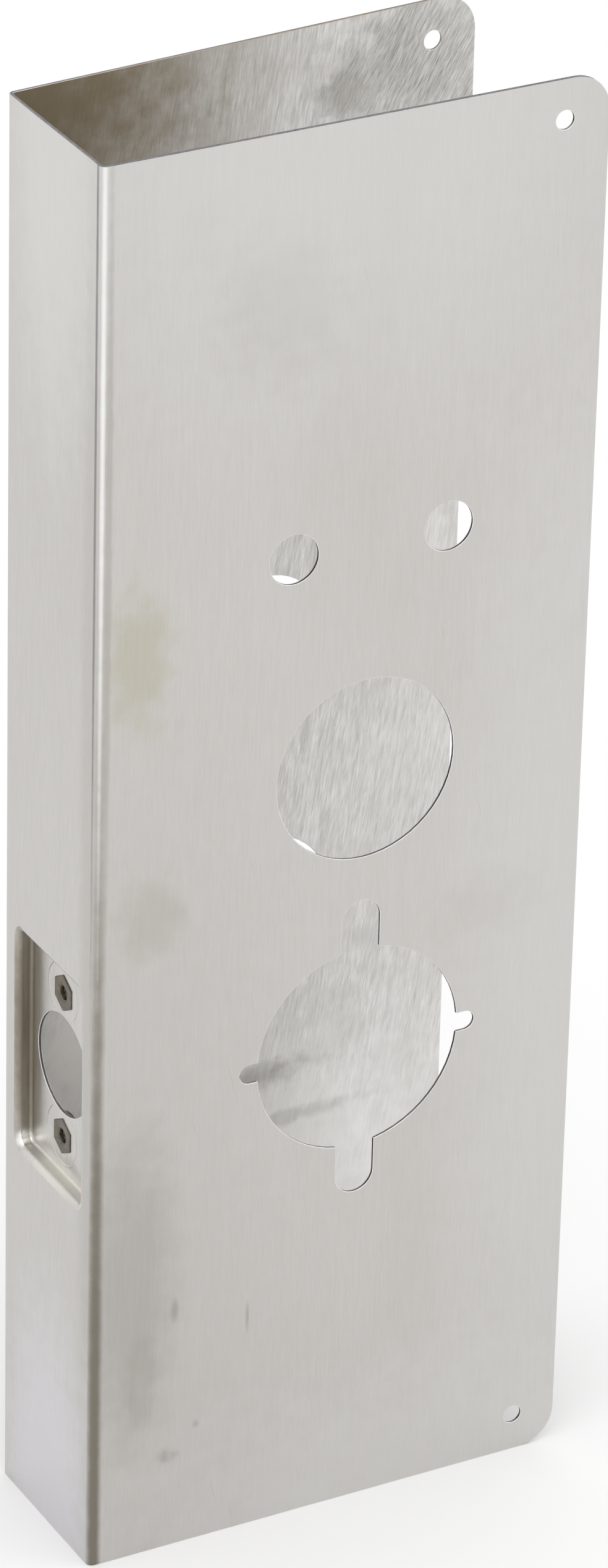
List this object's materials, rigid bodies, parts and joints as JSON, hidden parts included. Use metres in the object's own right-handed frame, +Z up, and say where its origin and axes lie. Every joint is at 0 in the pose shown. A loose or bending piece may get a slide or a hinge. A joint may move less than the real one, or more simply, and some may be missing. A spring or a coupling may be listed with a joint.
{
  "type": "door reinforcer plate",
  "caption": "Folded stainless sheet that wraps a door's edge round a lock, with a notched lock hole, a drawn latch recess and pressed-in nuts.",
  "frame": {"origin": "middle of the plate's bounding box, on its bottom edge", "axes": "+Z up along the folds, +X from the door's edge into the door, +Y through the door from the front flange to the back one"},
  "size_m": [0.1294, 0.0556, 0.3683],
  "materials": {
    "stainless_sheet": "satin, with a fine upright grain, faint stains and a few light scratches",
    "nut_steel": "dull, darker and browner than the sheet"
  },
  "bodies": {
    "root": {"wrap_plate": "stainless_sheet", "upper_latch_nut": "nut_steel", "lower_latch_nut": "nut_steel"}
  },
  "joints": []
}
